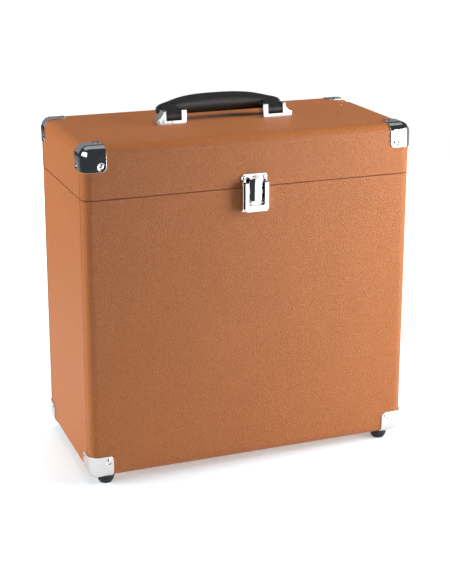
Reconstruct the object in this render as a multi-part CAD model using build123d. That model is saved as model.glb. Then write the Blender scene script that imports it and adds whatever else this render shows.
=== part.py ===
from build123d import *
import math
import os

os.makedirs("parts", exist_ok=True)

# ---------------------------------------------------------------- driving sizes, mm
W = 355.0            # case width (X)
D = 174.0            # case depth (Y)
H = 347.0            # case height without feet
FOOT_H = 10.0        # height of the rubber feet
R_EDGE = 10.0        # radius of every outer edge
SEAM_Z = 294.3       # lid line above the case bottom
SEAM_GAP = 0.6       # gap between lid and body
SKIN = 0.8           # leatherette
T_FRONT = 6.0        # front and back boards
T_SIDE = 8.0         # side, floor and top boards
LINING = 0.6
WRAP = 11.0          # how far the front and back skins reach round the upright edges
SKIN_GAP = 1.0       # seam groove between two skins
CAP_T = 1.0          # corner cap thickness
CAP_LEG = 24.5
CAP_CORNER_R = 5.0
NAIL_IN = 19.3       # nail distance from both edges

LATCH_OUT = 9.5      # how far the latch stands out of the front
HINGE_PIN_OUT = 3.2  # hinge pin axis behind the back face
HINGE_KNUCKLE_R = 3.0
HINGE_X = 105.0      # hinge centres
HINGE_W = 30.0

# the case is shifted in Y so that the whole object is centred on the origin
YC = (LATCH_OUT - (HINGE_PIN_OUT + HINGE_KNUCKLE_R)) / 2.0
YF = YC - D / 2.0    # front face
YB = YC + D / 2.0    # back face
XL, XR = -W / 2.0, W / 2.0
Z0 = FOOT_H          # case bottom
ZT = Z0 + H          # lid top
ZS = Z0 + SEAM_Z     # seam
ZSB = ZS - SEAM_GAP / 2.0
ZSL = ZS + SEAM_GAP / 2.0


# ---------------------------------------------------------------- helpers
def bx(x0, x1, y0, y1, z0, z1):
    return Pos((x0 + x1) / 2, (y0 + y1) / 2, (z0 + z1) / 2) * Box(x1 - x0, y1 - y0, z1 - z0)


def rbox(x0, x1, y0, y1, z0, z1, r):
    b = bx(x0, x1, y0, y1, z0, z1)
    return fillet(b.edges(), r)


def cyl_x(x0, x1, y, z, r):
    return Pos((x0 + x1) / 2, y, z) * Rot(0, 90, 0) * Cylinder(r, x1 - x0)


def cyl_y(x, y0, y1, z, r):
    return Pos(x, (y0 + y1) / 2, z) * Rot(90, 0, 0) * Cylinder(r, y1 - y0)


def cyl_z(x, y, z0, z1, r):
    return Pos(x, y, (z0 + z1) / 2) * Cylinder(r, z1 - z0)


def prism(points, direction, amount):
    """closed polygon of 3-D points, extruded."""
    face = make_face(Polyline(*points, close=True))
    return extrude(face, amount=amount, dir=direction)


def line_edges(shape, axis, tol=0.02, **at):
    """straight edges parallel to axis ('x','y','z') whose centre has the given coordinates."""
    found = []
    for e in shape.edges():
        if e.geom_type != GeomType.LINE:
            continue
        d = e.tangent_at(0.5)
        c = e.center()
        k = {"x": abs(d.X), "y": abs(d.Y), "z": abs(d.Z)}[axis]
        if k < 0.999:
            continue
        v = {"x": c.X, "y": c.Y, "z": c.Z}
        if all(abs(v[n] - val) < tol for n, val in at.items()):
            found.append(e)
    return found


def group(solids):
    return Compound(children=[s for s in solids])


def solids_of(shape):
    return list(shape.solids())


def save(node, shape):
    export_step(shape, "parts/" + node + ".step")


def dome(x, y, z, direction, r, h):
    """low domed head: a slice of a sphere standing on a plane, pointing along direction."""
    big = (r * r + h * h) / (2 * h)
    ball = Sphere(big)
    keep = Pos(0, 0, big - h / 2 + 0.0) * Box(3 * r, 3 * r, h)
    cap = Pos(0, 0, -(big - h)) * (ball & keep)
    d = Vector(*direction)
    pl = Plane(origin=(x, y, z), z_dir=(d.X, d.Y, d.Z))
    return pl * cap


def rod(x, y, z, direction, r, length):
    """cylinder from a point along direction."""
    pl = Plane(origin=(x, y, z), z_dir=direction)
    return pl * (Pos(0, 0, length / 2) * Cylinder(r, length))


def cone(x, y, z, direction, r0, r1, h):
    pl = Plane(origin=(x, y, z), z_dir=direction)
    return pl * (Pos(0, 0, h / 2) * Cone(r0, r1, h))


# ---------------------------------------------------------------- case shells
outer = rbox(XL, XR, YF, YB, Z0, ZT, R_EDGE)
inner_skin = rbox(XL + SKIN, XR - SKIN, YF + SKIN, YB - SKIN, Z0 + SKIN, ZT - SKIN, R_EDGE - SKIN)
cap_outer = rbox(XL - CAP_T, XR + CAP_T, YF - CAP_T, YB + CAP_T, Z0 - CAP_T, ZT + CAP_T, R_EDGE + CAP_T)
skin_shell = outer - inner_skin

TF = SKIN + T_FRONT
TS = SKIN + T_SIDE
BIG = 400.0
body_zone = bx(-BIG, BIG, -BIG, BIG, -50, ZSB)
lid_zone = bx(-BIG, BIG, -BIG, BIG, ZSL, 500)
IX0, IX1 = XL + TS, XR - TS
IY0, IY1 = YF + TF, YB - TF

# boards: front and back full width, sides between them, floor and top between all four
fb_zone = {"front": bx(-BIG, BIG, -BIG, YF + TF, -50, 500),
           "back": bx(-BIG, BIG, YB - TF, BIG, -50, 500)}
lr_zone = {"left": bx(-BIG, XL + TS, YF + TF, YB - TF, -50, 500),
           "right": bx(XR - TS, BIG, YF + TF, YB - TF, -50, 500)}
boards = {}
board_zone = {"body": bx(-BIG, BIG, -BIG, BIG, -50, ZSB - SKIN), "lid": bx(-BIG, BIG, -BIG, BIG, ZSL + SKIN, 500)}
for part, zone in board_zone.items():
    shell = inner_skin & zone
    for n, z in {**fb_zone, **lr_zone}.items():
        boards[part + "_" + n + "_board"] = shell & z
boards["body_bottom_board"] = bx(XL + TS, XR - TS, YF + TF, YB - TF, Z0 + SKIN, Z0 + TS) & inner_skin
boards["lid_top_board"] = bx(XL + TS, XR - TS, YF + TF, YB - TF, ZT - TS, ZT - SKIN) & inner_skin

# skins: each folds over the rim of its boards and ends at the lining
covers = {}
g = SKIN_GAP
well = bx(IX0, IX1, IY0, IY1, -50, 500)
rims = {"body": (outer & bx(-BIG, BIG, -BIG, BIG, ZSB - SKIN, ZSB)) - well,
        "lid": (outer & bx(-BIG, BIG, -BIG, BIG, ZSL, ZSL + SKIN)) - well}
for part, zone in (("body", body_zone), ("lid", lid_zone)):
    shell = (skin_shell & zone) + rims[part]
    if part == "lid":
        # one skin covers the top and folds down all round; its flaps meet on the sides, in a groove that ends under each cap
        cover = shell
        for y0 in (YF + WRAP, YB - WRAP - g):
            for x0, x1 in ((-BIG, XL + 14), (XR - 14, BIG)):
                cover = cover - bx(x0, x1, y0, y0 + g, -50, ZT - 14)
        covers["lid_cover"] = cover
        continue
    covers[part + "_front_cover"] = shell & bx(-BIG, BIG, -BIG, YF + WRAP, -50, 500)
    covers[part + "_back_cover"] = shell & bx(-BIG, BIG, YB - WRAP, BIG, -50, 500)
    mid = shell & bx(-BIG, BIG, YF + WRAP + g, YB - WRAP - g, -50, 500)
    covers["body_left_cover"] = mid & bx(-BIG, XL + 14, -BIG, BIG, -50, 500)
    covers["body_right_cover"] = mid & bx(XR - 14, BIG, -BIG, BIG, -50, 500)
    covers["body_bottom_cover"] = mid & bx(XL + 14 + 0.5, XR - 14 - 0.5, -BIG, BIG, -50, 100)

# linings: thin open boxes on the inner faces
body_lining = bx(IX0, IX1, IY0, IY1, Z0 + TS, ZSB) - bx(IX0 + LINING, IX1 - LINING, IY0 + LINING, IY1 - LINING,
                                                       Z0 + TS + LINING, ZSB + 1)
lid_lining = bx(IX0, IX1, IY0, IY1, ZSL, ZT - TS) - bx(IX0 + LINING, IX1 - LINING, IY0 + LINING, IY1 - LINING,
                                                      ZSL - 1, ZT - TS - LINING)

# ---------------------------------------------------------------- corner caps and nails
cap_shell = cap_outer - outer
caps = {}
nails = {"body": [], "lid": []}
cap_cuts = []


def nail(x, y, z, out_dir):
    """domed nail: the head stands on the cap's dimple, the shank goes through the skin into the board."""
    d = Vector(*out_dir)
    head = dome(x, y, z, out_dir, 2.3, 1.0)
    shank = rod(x, y, z, (-d.X, -d.Y, -d.Z), 0.8, 6.5)
    return head + shank


for vz, zname, part in ((-1, "bottom", "body"), (1, "top", "lid")):
    for vy, yname in ((-1, "front"), (1, "rear")):
        for vx, xname in ((-1, "left"), (1, "right")):
            cx_, cy_, cz_ = (XL if vx < 0 else XR), (YF if vy < 0 else YB), (Z0 if vz < 0 else ZT)
            far = (cx_ - vx * CAP_LEG, cy_ - vy * CAP_LEG, cz_ - vz * CAP_LEG)
            near = (cx_ + vx * 4, cy_ + vy * 4, cz_ + vz * 4)
            reg = bx(min(far[0], near[0]), max(far[0], near[0]), min(far[1], near[1]), max(far[1], near[1]),
                     min(far[2], near[2]), max(far[2], near[2]))
            es = (line_edges(reg, "x", y=far[1], z=far[2]) + line_edges(reg, "y", x=far[0], z=far[2])
                  + line_edges(reg, "z", x=far[0], y=far[1]))
            reg = fillet(es, CAP_CORNER_R)
            cap = cap_shell & reg
            seat = CAP_T - 0.45          # depth of the dimple under each nail head
            spots = [((cx_ - vx * NAIL_IN, cy_, cz_ - vz * NAIL_IN), (0, vy, 0)),
                     ((cx_, cy_ - vy * NAIL_IN, cz_ - vz * NAIL_IN), (vx, 0, 0))]
            if vz > 0:
                spots.append(((cx_ - vx * NAIL_IN, cy_ - vy * NAIL_IN, cz_), (0, 0, vz)))
            for p, d in spots:
                q = (p[0] + d[0] * seat, p[1] + d[1] * seat, p[2] + d[2] * seat)
                cap = cap - cone(q[0], q[1], q[2], d, 2.9, 4.3, CAP_T - seat + 0.001)
                nails[part].append(nail(q[0], q[1], q[2], d))
            caps["corner_cap_%s_%s_%s" % (zname, yname, xname)] = cap

# ---------------------------------------------------------------- feet
FOOT_X, FOOT_Y = 157.5, 71.0
feet = {}
foot_screws = []
for vy, yname in ((-1, "front"), (1, "rear")):
    for vx, xname in ((-1, "left"), (1, "right")):
        fx, fy = vx * FOOT_X, YC + vy * FOOT_Y
        prof = Polyline((3.6, 0), (6.3, 0), (7.9, 2.4), (9.2, 6.2), (9.6, Z0), (2.0, Z0), (2.0, 4.2), (3.6, 4.2), close=True)
        foot = Pos(fx, fy, 0) * revolve(Plane.XZ * make_face(prof), Axis.Z)
        # the foot is moulded round the cap's edge: the part beside the cap reaches the skin
        foot = foot - caps["corner_cap_bottom_%s_%s" % (yname, xname)]
        feet["foot_%s_%s" % (yname, xname)] = foot
        head = cyl_z(fx, fy, 2.2, 4.2, 3.5)
        shank = cyl_z(fx, fy, 4.2, Z0 + SKIN + 7.0, 2.0)
        cross = (bx(fx - 2.1, fx + 2.1, fy - 0.45, fy + 0.45, 2.0, 3.4)
                 + bx(fx - 0.45, fx + 0.45, fy - 2.1, fy + 2.1, 2.0, 3.4))
        foot_screws.append(head + shank - cross)

# ---------------------------------------------------------------- hinges
PY, PZ = YB + HINGE_PIN_OUT, ZS
HT = 1.2            # leaf thickness
leaf_h = 19.0
hinge_body, hinge_lid, hinge_pins, hinge_body_screws, hinge_lid_screws = {}, {}, [], [], []
kr = HINGE_KNUCKLE_R
for vx, name in ((-1, "left"), (1, "right")):
    hx = vx * HINGE_X
    hw = HINGE_W / 2
    # body leaf: two outer knuckles
    plate = bx(hx - hw, hx + hw, YB, YB + HT, PZ - leaf_h, PZ - 0.6)
    plate = fillet(line_edges(plate, "y", z=PZ - leaf_h), 3.0)
    b = plate
    for k0, k1 in ((-hw, -5.2), (5.2, hw)):
        b = b + cyl_x(hx + k0, hx + k1, PY, PZ, kr) + bx(hx + k0, hx + k1, YB, PY, PZ - 3.0, PZ - 0.9)
    b = b - bx(hx - 5.2, hx + 5.2, YB - 1, PY + kr + 1, PZ - 3.9, PZ + 5)
    b = b - cyl_x(hx - hw - 1, hx + hw + 1, PY, PZ, 1.4)
    # lid leaf: one middle knuckle
    plate = bx(hx - hw, hx + hw, YB, YB + HT, PZ + 0.6, PZ + leaf_h)
    plate = fillet(line_edges(plate, "y", z=PZ + leaf_h), 3.0)
    l = plate + cyl_x(hx - 4.8, hx + 4.8, PY, PZ, kr) + bx(hx - 4.8, hx + 4.8, YB, PY, PZ + 0.9, PZ + 3.0)
    for k0, k1 in ((-hw - 1, -4.8), (4.8, hw + 1)):
        l = l - bx(hx + k0, hx + k1, YB - 1, PY + kr + 1, PZ - 5, PZ + 3.9)
    l = l - cyl_x(hx - hw - 1, hx + hw + 1, PY, PZ, 1.45)
    for sx in (-9.5, 9.5):
        for leaf, sz, lst in (("b", -12.5, hinge_body_screws), ("l", 12.5, hinge_lid_screws)):
            x, z = hx + sx, PZ + sz
            scr = (cone(x, YB + 0.1, z, (0, 1, 0), 1.3, 2.4, 1.1) + dome(x, YB + HT, z, (0, 1, 0), 2.4, 0.5)
                   + cyl_y(x, YB - 5.6, YB + 0.1, z, 1.3))
            cross = (bx(x - 1.35, x + 1.35, YB + HT - 0.35, YB + HT + 1, z - 0.3, z + 0.3)
                     + bx(x - 0.3, x + 0.3, YB + HT - 0.35, YB + HT + 1, z - 1.35, z + 1.35))
            lst.append(scr - cross)
            if leaf == "b":
                b = b - scr
            else:
                l = l - scr
    hinge_body["hinge_body_leaf_" + name] = b
    hinge_lid["hinge_lid_leaf_" + name] = l
    hinge_pins.append(cyl_x(hx - hw - 0.6, hx + hw + 0.6, PY, PZ, 1.4))

# ---------------------------------------------------------------- handle brackets, pins, handle
PIN_Z = ZT + 7.8
BRY = 7.0
SLOT0, SLOT1 = 48.5, 65.5
LUG0, LUG1 = 48.8, 65.2
brackets = {}
handle_pins, bracket_screws = [], []
backing = {}
for vx, name in ((-1, "left"), (1, "right")):
    e1 = Line((43.0, 0), (76.0, 0))
    e2 = Line((76.0, 0), (76.0, 5.5))
    e3 = ThreePointArc((76.0, 5.5), (70.5, 9.0), (67.8, 15.0))
    e4 = Line((67.8, 15.0), (43.0, 15.0))
    e5 = Line((43.0, 15.0), (43.0, 0))
    face = make_face([e1, e2, e3, e4, e5])
    br = extrude(Plane.XZ * face, amount=BRY + 0.4, both=True)
    br = fillet(line_edges(br, "z", x=43.0) + line_edges(br, "z", x=76.0), 1.2)
    # moulding draft on the front and back faces
    br = br & prism([(40, -7.4, 0), (40, 7.4, 0), (40, 6.0, 15.0), (40, -6.0, 15.0)], (1, 0, 0), 40.0)
    top = [e for e in br.edges() if abs(e.center().Z - 15.0) < 0.01 and e.geom_type == GeomType.LINE
           and abs(e.tangent_at(0.5).X) > 0.9]
    br = fillet(top, 1.0)
    br = br - bx(SLOT0, SLOT1, -9, 9, 4.1, 20) - bx(SLOT0, SLOT1, -5.6, 5.6, 1.2, 20)
    br = br - cyl_x(40, 69.5, 0, 7.8, 2.5)
    if vx < 0:
        br = mirror(br, Plane.YZ)
    br = Pos(0, YC, ZT) * br
    for sx in (46.1, 71.2):
        x = vx * sx
        scr = cyl_z(x, YC, ZT - 10.6, ZT + 4.2, 1.75) + cyl_z(x, YC, ZT - 12.6, ZT - 10.6, 3.6)
        cross = (bx(x - 2.2, x + 2.2, YC - 0.45, YC + 0.45, ZT - 13, ZT - 11.4)
                 + bx(x - 0.45, x + 0.45, YC - 2.2, YC + 2.2, ZT - 13, ZT - 11.4))
        bracket_screws.append(scr - cross)
        br = br - scr
    brackets["handle_bracket_" + name] = br
    x0, x1 = sorted((vx * 43.6, vx * 69.5))
    handle_pins.append(cyl_x(x0, x1, YC, PIN_Z, 2.5))
    x0, x1 = sorted((vx * 41.0, vx * 78.0))
    pl = bx(x0, x1, YC - 9, YC + 9, ZT - 10.6, ZT - 9.4)
    pl = fillet(pl.edges().filter_by(Axis.Z), 3.0)
    backing["handle_backing_plate_" + name] = pl
for s in bracket_screws:
    for n in backing:
        backing[n] = backing[n] - s

# handle, drawn upright over its pins and then leaned back to its rest
LEAN = 72.0
half_stations = [(15.0, 24.3, 10.2), (30.0, 23.3, 9.7), (42.0, 21.5, 8.8), (51.0, 19.4, 7.6), (59.0, 17.3, 6.4),
                 (65.0, 15.9, 5.4), (68.0, 15.2, 4.3), (69.7, 14.8, 2.8), (70.4, 14.65, 1.2)]
stations = [(-x, r, rad) for x, r, rad in reversed(half_stations)] + [(0.0, 24.5, 10.3)] + half_stations
sections = [Plane(origin=(x, 0, r), x_dir=(0, 1, 0), z_dir=(1, 0, 0)) * Circle(rad) for x, r, rad in stations]
grip = loft(sections)
for vx in (-1, 1):
    x0, x1 = sorted((vx * LUG0, vx * LUG1))
    lug = cyl_x(x0, x1, 0, 0, 6.0) + bx(x0, x1, -4.8, 4.8, 0, 17.0)
    grip = grip + lug
    grip = grip - cyl_x(x0 - 3, x1 + 3, 0, 0, 2.55)
handle_grip = Pos(0, YC, PIN_Z) * Rot(-LEAN, 0, 0) * grip

# ---------------------------------------------------------------- latch
# s is the distance out of the front face, z is above the case bottom


def P(x, s, z):
    return (x, YF - s, Z0 + z)


def lbox(x0, x1, s0, s1, z0, z1):
    return bx(x0, x1, YF - s1, YF - s0, Z0 + z0, Z0 + z1)


def lcyl_x(x0, x1, s, z, r):
    return cyl_x(x0, x1, YF - s, Z0 + z, r)


def side_prism(pts, x0, x1):
    return prism([P(x0, s, z) for s, z in pts], (1, 0, 0), x1 - x0)


LX = 14.0                        # half width of both plates
P0S, P0Z = 4.5, 298.2            # lever pivot
P1S, P1Z = 6.2, 279.3            # claw pivot on the lever
SB = SEAM_Z - SEAM_GAP / 2       # body edge, from the case bottom
SL = SEAM_Z + SEAM_GAP / 2

# body plate with two ears
base = lbox(-LX, LX, 0, 1.0, 269.2, SB - 0.1)
base = fillet(line_edges(base, "y", z=Z0 + 269.2), 2.5)
ear_prof = [(0.0, 271.5), (5.4, 271.5), (6.6, 273.5), (6.6, 299.2), (5.6, 300.9), (3.2, 300.9), (1.6, 298.6), (1.6, SB - 0.1), (0.0, SB - 0.1)]
for vx in (-1, 1):
    x0, x1 = sorted((vx * 12.8, vx * LX))
    base = base + side_prism(ear_prof, x0, x1)
pivot_pins = []
for vx in (-1, 1):
    x0, x1 = sorted((vx * 10.6, vx * 14.6))
    pivot_pins.append(lcyl_x(x0, x1, P0S, P0Z, 1.1))
    base = base - lcyl_x(x0, x1, P0S, P0Z, 1.1)
base_rivets = []
for x in (-6.0, 6.0):
    c = P(x, 1.0, 274.5)
    riv = dome(c[0], c[1], c[2], (0, -1, 0), 2.2, 0.9) + rod(c[0], c[1], c[2], (0, 1, 0), 1.4, 6.0)
    base_rivets.append(riv)
    base = base - riv

# lid plate with the ledge that the claw hooks over
catch = lbox(-LX, LX, 0, 1.0, SL + 0.1, 308.2)
catch = fillet(line_edges(catch, "y", z=Z0 + 308.2), 3.0)
ledge = side_prism([(1.0, 300.2), (4.4, 301.2), (4.4, 302.3), (1.0, 302.3)], -5.0, 5.0)
catch = catch + ledge
catch = catch - lbox(-2.3, 2.3, -0.1, 1.1, 304.9, 305.8)
catch_rivets = []
for x in (-10.9, 10.9):
    c = P(x, 1.0, 304.4)
    riv = dome(c[0], c[1], c[2], (0, -1, 0), 2.0, 0.9) + rod(c[0], c[1], c[2], (0, 1, 0), 1.3, 6.0)
    catch_rivets.append(riv)
    catch = catch - riv

# lever: U frame with side walls
LVX = 12.5
wall_prof = [(2.5, 270.6), (9.5, 270.6), (9.5, 300.2), (8.3, 300.9), (4.5, 301.4), (2.3, 300.4), (1.5, 298.2), (2.3, 294.6), (2.5, 294.0)]
lever = side_prism(wall_prof, -LVX, LVX)
lever = lever - lbox(-LVX + 1.1, LVX - 1.1, 0.0, 8.3, 260, 310)
lever = fillet(line_edges(lever, "y", z=Z0 + 270.6, x=-LVX) + line_edges(lever, "y", z=Z0 + 270.6, x=LVX), 2.6)
win = lbox(-8.5, 8.5, 0, 12, 277.0, 310)
win = fillet(line_edges(win, "y", z=Z0 + 277.0), 1.6)
lever = lever - win
for vx in (-1, 1):
    x0, x1 = sorted((vx * 10.0, vx * 14.0))
    lever = lever - lcyl_x(x0, x1, P0S, P0Z, 1.15)
claw_pin = lcyl_x(-12.2, 12.2, P1S, P1Z, 1.1)
lever = lever - claw_pin

# claw: bowed tongue, narrower below, with a flange over the ledge and an eye round its pin
bow_out, bow_in = 26.0, 24.5
front_face = [(-7.0, 303.9), (7.0, 303.9), (7.0, 294.5), (5.5, 279.3), (-5.5, 279.3), (-7.0, 294.5)]
slab = prism([P(x, 0.0, z) for x, z in front_face], (0, -1, 0), 12.0)
bow = (cyl_z(0, YF - 7.6 + bow_out, Z0 + 260, Z0 + 320, bow_out) - cyl_z(0, YF - 7.6 + bow_out, Z0 + 260, Z0 + 320, bow_in))
tongue = (slab & bow) & lbox(-8, 8, 3.6, 12, 270, 310)
flange = (prism([P(x, 1.7, z) for x, z in [(-5.6, 303.9), (5.6, 303.9), (5.6, 302.7), (-5.6, 302.7)]], (0, -1, 0), 10.0)
          & cyl_z(0, YF - 7.6 + bow_out, Z0 + 260, Z0 + 320, bow_out))
eye = lcyl_x(-5.3, 5.3, P1S, P1Z, 2.3) & lbox(-8, 8, 0, 7.55, 270, 290)
claw = tongue + flange + eye
claw = claw - (lbox(-8, 8, 6.0, 12, 293.3, 294.0) - cyl_z(0, YF - 7.6 + bow_out, Z0 + 260, Z0 + 320, bow_out - 0.7))
claw = claw - lcyl_x(-9, 9, P1S, P1Z, 1.15)

# ---------------------------------------------------------------- holes for the fasteners
allf_body = nails["body"] + foot_screws + hinge_body_screws + base_rivets
allf_lid = nails["lid"] + hinge_lid_screws + bracket_screws + catch_rivets


def near(shape, tool):
    a, b = shape.bounding_box(), tool.bounding_box()
    return not (a.max.X < b.min.X or b.max.X < a.min.X or a.max.Y < b.min.Y or b.max.Y < a.min.Y
                or a.max.Z < b.min.Z or b.max.Z < a.min.Z)


def drill(shape, tools):
    for t in tools:
        if near(shape, t):
            shape = shape - t
    return shape


for n in boards:
    boards[n] = drill(boards[n], allf_body if n.startswith("body") else allf_lid)
for n in covers:
    covers[n] = drill(covers[n], allf_body if n.startswith("body") else allf_lid)
for n in caps:
    caps[n] = drill(caps[n], (nails["body"] + foot_screws) if "bottom" in n else nails["lid"])
lid_lining = drill(lid_lining, bracket_screws)

# ---------------------------------------------------------------- write every piece
pieces = {}
pieces.update(boards)
pieces.update(covers)
pieces["body_lining"] = body_lining
pieces["lid_lining"] = lid_lining
pieces.update(caps)
pieces["body_corner_nails"] = group(nails["body"])
pieces["lid_corner_nails"] = group(nails["lid"])
pieces.update(feet)
pieces["foot_screws"] = group(foot_screws)
pieces.update(hinge_body)
pieces.update(hinge_lid)
pieces["hinge_pins"] = group(hinge_pins)
pieces["hinge_body_screws"] = group(hinge_body_screws)
pieces["hinge_lid_screws"] = group(hinge_lid_screws)
pieces.update(brackets)
pieces.update(backing)
pieces["handle_pins"] = group(handle_pins)
pieces["handle_bracket_screws"] = group(bracket_screws)
pieces["handle_grip"] = handle_grip
pieces["latch_base_plate"] = base
pieces["latch_base_rivets"] = group(base_rivets)
pieces["latch_pivot_pins"] = group(pivot_pins)
pieces["latch_catch_plate"] = catch
pieces["latch_catch_rivets"] = group(catch_rivets)
pieces["latch_lever"] = lever
pieces["latch_claw"] = claw
pieces["latch_claw_pin"] = claw_pin

for n, s in pieces.items():
    save(n, s)
print(len(pieces), "pieces")
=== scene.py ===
import bpy, bmesh, math
from mathutils import Vector, Matrix


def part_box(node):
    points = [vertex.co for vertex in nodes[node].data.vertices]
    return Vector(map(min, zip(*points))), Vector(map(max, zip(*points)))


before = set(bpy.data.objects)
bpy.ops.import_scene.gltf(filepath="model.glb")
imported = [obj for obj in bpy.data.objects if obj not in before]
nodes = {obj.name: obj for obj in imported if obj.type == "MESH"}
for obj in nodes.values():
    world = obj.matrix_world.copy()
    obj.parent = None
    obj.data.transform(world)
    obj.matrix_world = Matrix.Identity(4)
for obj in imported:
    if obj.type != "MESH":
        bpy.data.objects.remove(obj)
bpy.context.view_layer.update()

scene = bpy.context.scene
scene.view_settings.view_transform = "Standard"
scene.view_settings.look = "None"
scene.view_settings.exposure = 0.0
scene.view_settings.gamma = 1.0

# ------------------------------------------------------------------ key positions, from the CAD nodes (metres)
blo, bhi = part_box("body_front_cover")
llo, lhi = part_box("lid_cover" if "lid_cover" in nodes else "lid_front_cover")
klo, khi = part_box("body_back_cover")
FRONT_Y = blo.y
BACK_Y = khi.y
LEFT_X, RIGHT_X = blo.x, bhi.x
BOT_Z, TOP_Z = blo.z, lhi.z
SEAM_Z = (bhi.z + llo.z) / 2


# ------------------------------------------------------------------ node helpers
class Mat:
    """small builder for a procedural material"""

    def __init__(self, name, base=(0.5, 0.5, 0.5), rough=0.5, metal=0.0):
        self.m = bpy.data.materials.new(name)
        self.m.use_nodes = True
        self.nt = self.m.node_tree
        self.nt.nodes.clear()
        self.out = self.n("ShaderNodeOutputMaterial")
        self.b = self.n("ShaderNodeBsdfPrincipled")
        self.link(self.b.outputs[0], self.out.inputs[0])
        self.b.inputs["Base Color"].default_value = (*base, 1)
        self.b.inputs["Roughness"].default_value = rough
        self.b.inputs["Metallic"].default_value = metal
        self.co = self.n("ShaderNodeTexCoord").outputs["Object"]

    def n(self, kind, **kw):
        nd = self.nt.nodes.new(kind)
        for k, v in kw.items():
            setattr(nd, k, v)
        return nd

    def link(self, a, b):
        self.nt.links.new(a, b)

    def mapping(self, scale=(1, 1, 1), rot=(0, 0, 0), loc=(0, 0, 0), src=None):
        mp = self.n("ShaderNodeMapping")
        mp.inputs["Scale"].default_value = scale
        mp.inputs["Rotation"].default_value = rot
        mp.inputs["Location"].default_value = loc
        self.link(src or self.co, mp.inputs["Vector"])
        return mp.outputs[0]

    def noise(self, scale, detail=3, rough=0.5, dist=0.0, src=None):
        nd = self.n("ShaderNodeTexNoise")
        nd.inputs["Scale"].default_value = scale
        nd.inputs["Detail"].default_value = detail
        nd.inputs["Roughness"].default_value = rough
        nd.inputs["Distortion"].default_value = dist
        self.link(src or self.co, nd.inputs["Vector"])
        return nd.outputs["Fac"]

    def noise_vec(self, scale, amount, src=None, detail=2):
        nd = self.n("ShaderNodeTexNoise")
        nd.inputs["Scale"].default_value = scale
        nd.inputs["Detail"].default_value = detail
        self.link(src or self.co, nd.inputs["Vector"])
        sub = self.n("ShaderNodeVectorMath", operation="SUBTRACT")
        self.link(nd.outputs["Color"], sub.inputs[0])
        sub.inputs[1].default_value = (0.5, 0.5, 0.5)
        sc = self.n("ShaderNodeVectorMath", operation="SCALE")
        self.link(sub.outputs[0], sc.inputs[0])
        sc.inputs["Scale"].default_value = amount
        add = self.n("ShaderNodeVectorMath", operation="ADD")
        self.link(src or self.co, add.inputs[0])
        self.link(sc.outputs[0], add.inputs[1])
        return add.outputs[0]

    def voronoi(self, scale, feature="F1", smooth=None, src=None, rand=1.0):
        nd = self.n("ShaderNodeTexVoronoi", feature=feature)
        nd.inputs["Scale"].default_value = scale
        nd.inputs["Randomness"].default_value = rand
        if smooth is not None:
            nd.inputs["Smoothness"].default_value = smooth
        self.link(src or self.co, nd.inputs["Vector"])
        return nd.outputs["Distance"]

    def math(self, op, a, b=None, c=None, clamp=False):
        nd = self.n("ShaderNodeMath", operation=op, use_clamp=clamp)
        for i, v in enumerate((a, b, c)):
            if v is None:
                continue
            if isinstance(v, (int, float)):
                nd.inputs[i].default_value = v
            else:
                self.link(v, nd.inputs[i])
        return nd.outputs[0]

    def rng(self, v, a, b, c=0.0, d=1.0, smooth=False):
        nd = self.n("ShaderNodeMapRange", clamp=True)
        if smooth:
            nd.interpolation_type = "SMOOTHSTEP"
        self.link(v, nd.inputs["Value"])
        for k, x in zip(("From Min", "From Max", "To Min", "To Max"), (a, b, c, d)):
            nd.inputs[k].default_value = x
        return nd.outputs[0]

    def ramp(self, v, stops):
        nd = self.n("ShaderNodeValToRGB")
        cr = nd.color_ramp
        while len(cr.elements) > 1:
            cr.elements.remove(cr.elements[-1])
        cr.elements[0].position = stops[0][0]
        cr.elements[0].color = (*stops[0][1], 1)
        for p, c in stops[1:]:
            e = cr.elements.new(p)
            e.color = (*c, 1)
        self.link(v, nd.inputs[0])
        return nd.outputs[0]

    def mix(self, fac, a, b, mode="MIX"):
        nd = self.n("ShaderNodeMix", data_type="RGBA", blend_type=mode)
        if isinstance(fac, (int, float)):
            nd.inputs[0].default_value = fac
        else:
            self.link(fac, nd.inputs[0])
        for i, v in ((6, a), (7, b)):
            if isinstance(v, tuple):
                nd.inputs[i].default_value = (*v, 1)
            else:
                self.link(v, nd.inputs[i])
        return nd.outputs[2]

    def sep(self):
        nd = self.n("ShaderNodeSeparateXYZ")
        self.link(self.co, nd.inputs[0])
        return nd.outputs

    def bump(self, height, dist, strength=1.0, normal=None):
        nd = self.n("ShaderNodeBump")
        nd.inputs["Distance"].default_value = dist
        nd.inputs["Strength"].default_value = strength
        self.link(height, nd.inputs["Height"])
        if normal is not None:
            self.link(normal, nd.inputs["Normal"])
        return nd.outputs[0]

    def set(self, name, v):
        s = self.b.inputs[name]
        if isinstance(v, (int, float)):
            s.default_value = v
        elif isinstance(v, tuple):
            s.default_value = (*v, 1) if len(v) == 3 else v
        else:
            self.link(v, s)


def band(m, x, centre, half, soft):
    """1 within half of centre, falling to 0 over soft, along one coordinate"""
    d = m.math("ABSOLUTE", m.math("SUBTRACT", x, centre))
    return m.rng(d, half, half + soft, 1.0, 0.0, smooth=True)


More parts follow.
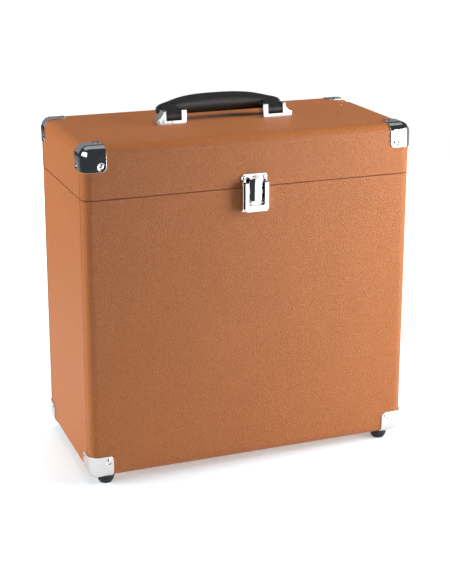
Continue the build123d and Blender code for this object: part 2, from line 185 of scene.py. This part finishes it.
def leatherette(name, base, seam_shade_lines):
    """fine pebbled vinyl leather; the third argument lists (axis, position) lines where two skins meet, which get a
    narrow band of painted shade
    """
    m = Mat(name)
    warp = m.noise_vec(260, 0.0009)
    cell = m.voronoi(820, "SMOOTH_F1", smooth=0.35, src=warp)
    cell2 = m.voronoi(1600, "SMOOTH_F1", smooth=0.4, src=warp)
    crease = m.voronoi(560, "DISTANCE_TO_EDGE", src=m.noise_vec(180, 0.0016))
    pebble = m.rng(cell, 0.05, 0.62, 1.0, 0.0, smooth=True)
    pebble2 = m.rng(cell2, 0.05, 0.6, 1.0, 0.0, smooth=True)
    groove = m.rng(crease, 0.0, 0.09, 0.0, 1.0, smooth=True)
    fine = m.noise(5200, 3, 0.6)
    h = m.math("ADD", m.math("MULTIPLY", pebble, 0.55), m.math("MULTIPLY", pebble2, 0.22))
    h = m.math("ADD", h, m.math("MULTIPLY", groove, 0.35))
    h = m.math("ADD", h, m.math("MULTIPLY", fine, 0.10))
    # colour: slow mottling, darker grooves, a little wear
    slow = m.noise(14, 3, 0.55)
    mid = m.noise(95, 4, 0.6)
    c0 = m.ramp(slow, [(0.30, tuple(v * 0.975 for v in base)), (0.70, tuple(min(1, v * 1.035) for v in base))])
    c1 = m.mix(m.rng(mid, 0.35, 0.7, 0.0, 0.10), c0, tuple(v * 0.82 for v in base))
    dark = tuple(v * 0.52 for v in base)
    c2 = m.mix(m.math("MULTIPLY", m.rng(groove, 0.0, 1.0, 1.0, 0.0), 0.75), c1, dark)
    c3 = m.mix(m.rng(pebble, 0.0, 0.35, 0.25, 0.0), c2, dark)
    x, y, z = m.sep()
    ax = {"x": x, "y": y, "z": z}
    seam_shade_mask = None
    for a, p, w in seam_shade_lines:
        s = band(m, ax[a], p, w, 0.0007)
        seam_shade_mask = s if seam_shade_mask is None else m.math("MAXIMUM", seam_shade_mask, s)
    # painted shade: a narrow deep-brown band along each line where two skins meet stands in for the shade in the gap
    # between them
    if seam_shade_mask is not None:
        c3 = m.mix(m.math("MULTIPLY", seam_shade_mask, 0.55), c3, (base[0] * 0.50, base[1] * 0.26, base[2] * 0.08))
    m.set("Base Color", c3)
    rough = m.rng(m.math("ADD", m.math("MULTIPLY", h, 0.6), m.math("MULTIPLY", mid, 0.4)), 0.2, 0.9, 0.56, 0.40)
    m.set("Roughness", rough)
    m.set("Specular IOR Level", 0.38)
    n1 = m.bump(h, 0.00036, 0.95)
    n2 = m.bump(m.noise(60, 2, 0.5), 0.0006, 0.12, n1)
    m.set("Normal", n2)
    m.b.inputs["Sheen Weight"].default_value = 0.06
    m.b.inputs["Sheen Roughness"].default_value = 0.4
    return m.m


def chrome(name, tint=(0.80, 0.81, 0.83), rough=0.07):
    m = Mat(name, tint, rough, 1.0)
    smear = m.noise(130, 4, 0.6)
    spots = m.noise(900, 2, 0.5)
    c = m.mix(m.rng(smear, 0.4, 0.75, 0.0, 0.25), tint, tuple(v * 0.86 for v in tint))
    m.set("Base Color", c)
    r = m.math("ADD", m.rng(smear, 0.3, 0.8, rough * 0.7, rough * 1.7), m.rng(spots, 0.62, 0.8, 0.0, 0.10))
    m.set("Roughness", r)
    wav = m.noise(75, 2, 0.45)
    grit = m.noise(2600, 2, 0.5)
    n1 = m.bump(wav, 0.0009, 0.10)
    n2 = m.bump(grit, 0.00002, 0.25, n1)
    m.set("Normal", n2)
    return m.m


def steel(name):
    m = Mat(name, (0.56, 0.56, 0.57), 0.3, 1.0)
    streak = m.noise(1.0, 3, 0.6, src=m.mapping((300, 5200, 5200)))
    patch = m.noise(240, 3, 0.6)
    c = m.ramp(patch, [(0.3, (0.50, 0.50, 0.49)), (0.55, (0.62, 0.62, 0.63)), (0.8, (0.66, 0.65, 0.60))])
    m.set("Base Color", c)
    m.set("Roughness", m.rng(streak, 0.3, 0.75, 0.22, 0.42))
    m.set("Normal", m.bump(streak, 0.00003, 0.5))
    return m.m


def grip_black(name):
    m = Mat(name, (0.012, 0.011, 0.011), 0.4)
    warp = m.noise_vec(200, 0.0012)
    cell = m.voronoi(760, "SMOOTH_F1", smooth=0.3, src=warp)
    crease = m.voronoi(520, "DISTANCE_TO_EDGE", src=m.noise_vec(150, 0.0022))
    peb = m.rng(cell, 0.05, 0.6, 1.0, 0.0, smooth=True)
    grv = m.rng(crease, 0.0, 0.10, 0.0, 1.0, smooth=True)
    mid = m.noise(70, 3, 0.55)
    h = m.math("ADD", m.math("MULTIPLY", peb, 0.5), m.math("MULTIPLY", grv, 0.5))
    c = m.mix(m.rng(grv, 0.0, 1.0, 0.7, 0.0), (0.016, 0.0145, 0.0140), (0.005, 0.005, 0.005))
    c = m.mix(m.rng(mid, 0.45, 0.75, 0.0, 0.35), c, (0.026, 0.023, 0.021))
    m.set("Base Color", c)
    m.set("Roughness", m.rng(m.math("ADD", m.math("MULTIPLY", h, 0.5), m.math("MULTIPLY", mid, 0.5)), 0.25, 0.85, 0.47, 0.33))
    m.set("Specular IOR Level", 0.5)
    m.set("Normal", m.bump(m.noise(45, 2, 0.5), 0.0008, 0.2, m.bump(h, 0.00022, 0.7)))
    return m.m


def rubber(name):
    m = Mat(name, (0.012, 0.012, 0.012), 0.7)
    sp = m.noise(1500, 3, 0.7)
    dust = m.noise(160, 4, 0.65)
    c = m.mix(m.rng(dust, 0.5, 0.85, 0.0, 0.6), (0.010, 0.010, 0.010), (0.040, 0.038, 0.035))
    m.set("Base Color", c)
    m.set("Roughness", m.rng(dust, 0.3, 0.8, 0.55, 0.82))
    m.set("Normal", m.bump(sp, 0.00008, 0.6))
    return m.m


def board(name):
    m = Mat(name, (0.45, 0.32, 0.20), 0.85)
    fib = m.noise(1.0, 4, 0.7, src=m.mapping((900, 900, 260)))
    fib2 = m.noise(1.0, 3, 0.6, dist=0.6, src=m.mapping((260, 2400, 2400)))
    c = m.ramp(fib, [(0.3, (0.33, 0.17, 0.08)), (0.5, (0.46, 0.26, 0.13)), (0.75, (0.58, 0.36, 0.20))])
    c = m.mix(m.rng(fib2, 0.55, 0.8, 0.0, 0.5), c, (0.30, 0.19, 0.11))
    m.set("Base Color", c)
    m.set("Roughness", m.rng(fib, 0.3, 0.8, 0.92, 0.78))
    m.set("Normal", m.bump(m.math("ADD", fib, fib2), 0.0002, 0.6))
    return m.m


def lining_cloth(name):
    m = Mat(name, (0.02, 0.02, 0.02), 0.9)
    x, y, z = m.sep()
    wob = m.math("MULTIPLY", m.noise(300, 2), 0.8)

    def thread(a, k):
        return m.math("ADD", m.math("MULTIPLY", m.math("SINE", m.math("ADD", m.math("MULTIPLY", a, k), wob)), 0.5), 0.5)

    s = m.math("ADD", x, y)
    wx, wz = thread(s, 5200), thread(z, 5200)
    wy = thread(m.math("SUBTRACT", x, y), 5200)
    w = m.math("MAXIMUM", m.math("MULTIPLY", wx, wz), m.math("MULTIPLY", wy, wx))
    lint = m.noise(420, 4, 0.7)
    c = m.mix(w, (0.010, 0.010, 0.011), (0.034, 0.033, 0.033))
    c = m.mix(m.rng(lint, 0.6, 0.85, 0.0, 0.5), c, (0.07, 0.068, 0.065))
    m.set("Base Color", c)
    m.set("Roughness", m.rng(lint, 0.3, 0.8, 0.82, 0.96))
    m.set("Normal", m.bump(w, 0.0002, 0.5))
    m.b.inputs["Sheen Weight"].default_value = 0.35
    m.b.inputs["Sheen Roughness"].default_value = 0.5
    return m.m


TAN = (0.500, 0.158, 0.036)
side_y0, side_y1 = FRONT_Y + 0.0115, BACK_Y - 0.0115
# lines on the covers that get painted shade: the lid-to-body gap and the front-to-side and back-to-side joints
seam_shade_lines_body = [("z", SEAM_Z, 0.0004), ("y", side_y0, 0.0006), ("y", side_y1, 0.0006)]
mats = {
    "skin": leatherette("leatherette_tan", TAN, [("z", SEAM_Z, 0.0004)]),
    "skin_side": leatherette("leatherette_side", TAN, seam_shade_lines_body),
    "skin_top": leatherette("leatherette_lid", TAN, [("z", SEAM_Z, 0.0004)]),
    "chrome": chrome("plated_caps"),
    "chrome2": chrome("plated_fittings", (0.84, 0.84, 0.85), 0.06),
    "steel": steel("zinc_steel"),
    "grip": grip_black("grip_black"),
    "rubber": rubber("foot_rubber"),
    "board": board("fibreboard"),
    "lining": lining_cloth("lining_cloth"),
}


def give(o, mat):
    o.data.materials.clear()
    o.data.materials.append(mat)


for name, o in nodes.items():
    if name.endswith("_board"):
        give(o, mats["board"])
    elif name.endswith("_cover"):
        give(o, mats["skin_side"])
    elif name.endswith("_lining"):
        give(o, mats["lining"])
    elif name.startswith("foot_") and name != "foot_screws":
        give(o, mats["rubber"])
    elif name == "handle_grip":
        give(o, mats["grip"])
    elif name in ("foot_screws", "hinge_pins", "handle_pins", "handle_bracket_screws", "latch_pivot_pins", "latch_claw_pin",
                  "handle_backing_plate_left", "handle_backing_plate_right"):
        give(o, mats["steel"])
    elif name.startswith("corner_cap"):
        give(o, mats["chrome"])
    else:
        give(o, mats["chrome2"])


# softened edges on the metal
def bevel(o, width, segs=2, angle=35):
    b = o.modifiers.new("edge", "BEVEL")
    b.width = width
    b.segments = segs
    b.limit_method = "ANGLE"
    b.angle_limit = math.radians(angle)
    b.harden_normals = False
    b.miter_outer = "MITER_ARC"
    return b


for name, o in nodes.items():
    wd = None
    if name in ("latch_base_plate", "latch_catch_plate", "latch_lever", "latch_claw"):
        wd = 0.00022
    elif name.startswith("handle_bracket_") and name != "handle_bracket_screws":
        wd = 0.0003
    elif name.startswith("hinge_") and "leaf" in name:
        wd = 0.00025
    elif name.startswith("corner_cap"):
        wd = 0.00025
    if wd:
        wl = o.modifiers.new("join", "WELD")
        wl.merge_threshold = 0.000002
        bevel(o, wd)
        wn = o.modifiers.new("shade", "WEIGHTED_NORMAL")
        wn.weight = 60
        wn.keep_sharp = False


# ------------------------------------------------------------------ floor, light, camera
def table_top(name, z, near_painted_glow, far_painted_glow, near_white, far_white):
    """pale table top: a disc that ends a little way in front of the object; it glows as painted light, with glow and
    colour running from the near values around the object to the far values beyond about 1.1 m
    """
    me = bpy.data.meshes.new(name)
    bm = bmesh.new()
    cx, cy, rad, rings, segs = -0.15, 0.55, 1.25, 8, 72
    centre = bm.verts.new((cx, cy, z))
    prev = None
    for i in range(1, rings + 1):
        r = rad * i / rings
        ring = [bm.verts.new((cx + r * math.cos(2 * math.pi * k / segs), cy + r * math.sin(2 * math.pi * k / segs), z)) for k in range(segs)]
        for k in range(segs):
            n = (k + 1) % segs
            if prev is None:
                bm.faces.new((centre, ring[k], ring[n]))
            else:
                bm.faces.new((prev[k], ring[k], ring[n], prev[n]))
        prev = ring
    bm.to_mesh(me)
    bm.free()
    o = bpy.data.objects.new(name, me)
    scene.collection.objects.link(o)
    m = Mat(name, near_white, 0.8)
    m.b.inputs["Specular IOR Level"].default_value = 0.1
    m.b.inputs["Emission Color"].default_value = (1, 1, 1, 1)
    sx, sy, sz = m.sep()
    far = m.math("SQRT", m.math("ADD", m.math("MULTIPLY", sx, sx), m.math("MULTIPLY", sy, sy)))
    # painted light: the table glows, its strength and colour blending from the near to the far values with distance
    # from the object
    m.set("Emission Strength", m.rng(far, 0.36, 1.1, near_painted_glow, far_painted_glow, smooth=True))
    m.set("Base Color", m.mix(m.rng(far, 0.36, 1.1, 0.0, 1.0, smooth=True), near_white, far_white))
    o.data.materials.append(m.m)
    return o


def studio_backdrop():
    """white surround, seen by the camera only, so it neither lights nor reflects"""
    me = bpy.data.meshes.new("studio_backdrop")
    bm = bmesh.new()
    bmesh.ops.create_uvsphere(bm, u_segments=48, v_segments=24, radius=7.0)
    for f in bm.faces:
        f.smooth = True
    bm.to_mesh(me)
    bm.free()
    o = bpy.data.objects.new("studio_backdrop", me)
    scene.collection.objects.link(o)
    m = bpy.data.materials.new("studio_backdrop")
    m.use_nodes = True
    nt = m.node_tree
    nt.nodes.clear()
    e = nt.nodes.new("ShaderNodeEmission")
    e.inputs["Color"].default_value = (1, 1, 1, 1)
    e.inputs["Strength"].default_value = 1.02
    out = nt.nodes.new("ShaderNodeOutputMaterial")
    nt.links.new(e.outputs[0], out.inputs[0])
    o.data.materials.append(m)
    for k in ("visible_diffuse", "visible_glossy", "visible_transmission", "visible_volume_scatter", "visible_shadow"):
        setattr(o, k, False)
    return o


# the table that the camera sees, glowing as painted light, dim and blue-tinted near the object so the cast shadow there
# takes a painted bluish shadow colour, white far off; and the duller one, whose painted glow lights and reflects in the
# object
floor = table_top("studio_floor", 0.0, 0.35, 1.02, (0.78, 0.89, 0.94), (0.92, 0.92, 0.92))
bounce = table_top("studio_bounce", -0.0005, 0.31, 0.05, (0.64, 0.64, 0.64), (0.30, 0.30, 0.30))
for k in ("visible_diffuse", "visible_glossy", "visible_transmission", "visible_shadow"):
    setattr(floor, k, False)
bounce.visible_camera = False
backdrop = studio_backdrop()


def area(name, loc, target, size, power, size_y=None, color=(1, 1, 1), spread=None):
    li = bpy.data.lights.new(name, "AREA")
    li.energy = power
    li.size = size
    li.color = color
    if size_y:
        li.shape = "RECTANGLE"
        li.size_y = size_y
    if spread:
        li.spread = math.radians(spread)
    o = bpy.data.objects.new(name, li)
    o.location = loc
    d = Vector(target) - Vector(loc)
    o.rotation_euler = d.to_track_quat("-Z", "Y").to_euler()
    o.visible_camera = False
    scene.collection.objects.link(o)
    return o


MID = (0, 0, 0.18)
area("soft_right", (0.55, -0.42, 0.37), (0.17, -0.09, 0.26), 0.3, 6.0, 0.5)
left = area("soft_left", (-1.2, 0.15, 0.36), MID, 0.8, 14.3, 0.6)
over = area("soft_top", (0.15, 0.25, 1.9), MID, 1.4, 25.5, 1.4)
area("soft_back", (0.25, 1.35, 0.17), (0, 0.1, 0.17), 1.0, 5.0, 0.3)
left.visible_glossy = False
over.visible_glossy = False


def card(name, corners, glow):
    """studio reflector that only shows in gloss"""
    me = bpy.data.meshes.new(name)
    me.from_pydata(corners, [], [(0, 1, 2, 3)])
    o = bpy.data.objects.new(name, me)
    scene.collection.objects.link(o)
    m = bpy.data.materials.new(name)
    m.use_nodes = True
    nt = m.node_tree
    nt.nodes.clear()
    e = nt.nodes.new("ShaderNodeEmission")
    e.inputs["Color"].default_value = (1, 1, 1, 1)
    e.inputs["Strength"].default_value = glow
    out = nt.nodes.new("ShaderNodeOutputMaterial")
    nt.links.new(e.outputs[0], out.inputs[0])
    o.data.materials.append(m)
    for k in ("visible_camera", "visible_diffuse", "visible_transmission", "visible_volume_scatter", "visible_shadow"):
        setattr(o, k, False)
    return o


card("card_front_right", [(0.32, -1.25, -0.35), (1.7, -1.25, -0.35), (1.7, -1.25, 0.75), (0.32, -1.25, 0.75)], 1.5)
card("card_far_right", [(0.62, -1.24, -0.35), (1.9, -1.24, -0.35), (1.9, -1.24, 0.85), (0.62, -1.24, 0.85)], 3.4)
card("card_back", [(-1.2, 1.9, 0.30), (1.6, 1.9, 0.30), (1.6, 1.9, 1.1), (-1.2, 1.9, 1.1)], 0.26)
card("card_right", [(2.0, -0.9, -0.3), (2.0, 1.2, -0.3), (2.0, 1.2, 1.0), (2.0, -0.9, 1.0)], 0.38)
card("card_over", [(-1.1, -0.2, 2.0), (1.2, -0.2, 2.0), (1.2, 1.6, 2.0), (-1.1, 1.6, 2.0)], 0.40)
card("card_left", [(-0.75, -0.85, 0.42), (-1.25, 0.10, 0.52), (-1.25, 0.10, 1.25), (-0.75, -0.85, 1.25)], 3.0)

w = bpy.data.worlds.new("studio")
scene.world = w
w.use_nodes = True
w.node_tree.nodes["Background"].inputs[0].default_value = (0.78, 0.88, 1.0, 1)
w.node_tree.nodes["Background"].inputs[1].default_value = 0.05

# camera: fitted to the object's edges; the picture is 452 wide and 584 high
PSI, PITCH = math.radians(20.7339), math.radians(15.4993)
F_PX, SHIFT = 1347.237, -0.12
CX, CY, CZ = -0.493069, -1.310387, 0.623142
case_mid_y = (FRONT_Y + BACK_Y) / 2
cam_d = bpy.data.cameras.new("camera")
cam = bpy.data.objects.new("camera", cam_d)
scene.collection.objects.link(cam)
scene.camera = cam
cam_d.sensor_fit = "AUTO"
cam_d.sensor_width = 36.0
cam_d.lens = F_PX * 36.0 / 584.0
cam_d.shift_y = SHIFT
cam_d.clip_start, cam_d.clip_end = 0.05, 50
cam.location = (CX, CY + case_mid_y, CZ + BOT_Z)
fw = Vector((math.sin(PSI) * math.cos(PITCH), math.cos(PSI) * math.cos(PITCH), -math.sin(PITCH)))
cam.rotation_mode = "QUATERNION"
cam.rotation_quaternion = fw.to_track_quat("-Z", "Y")
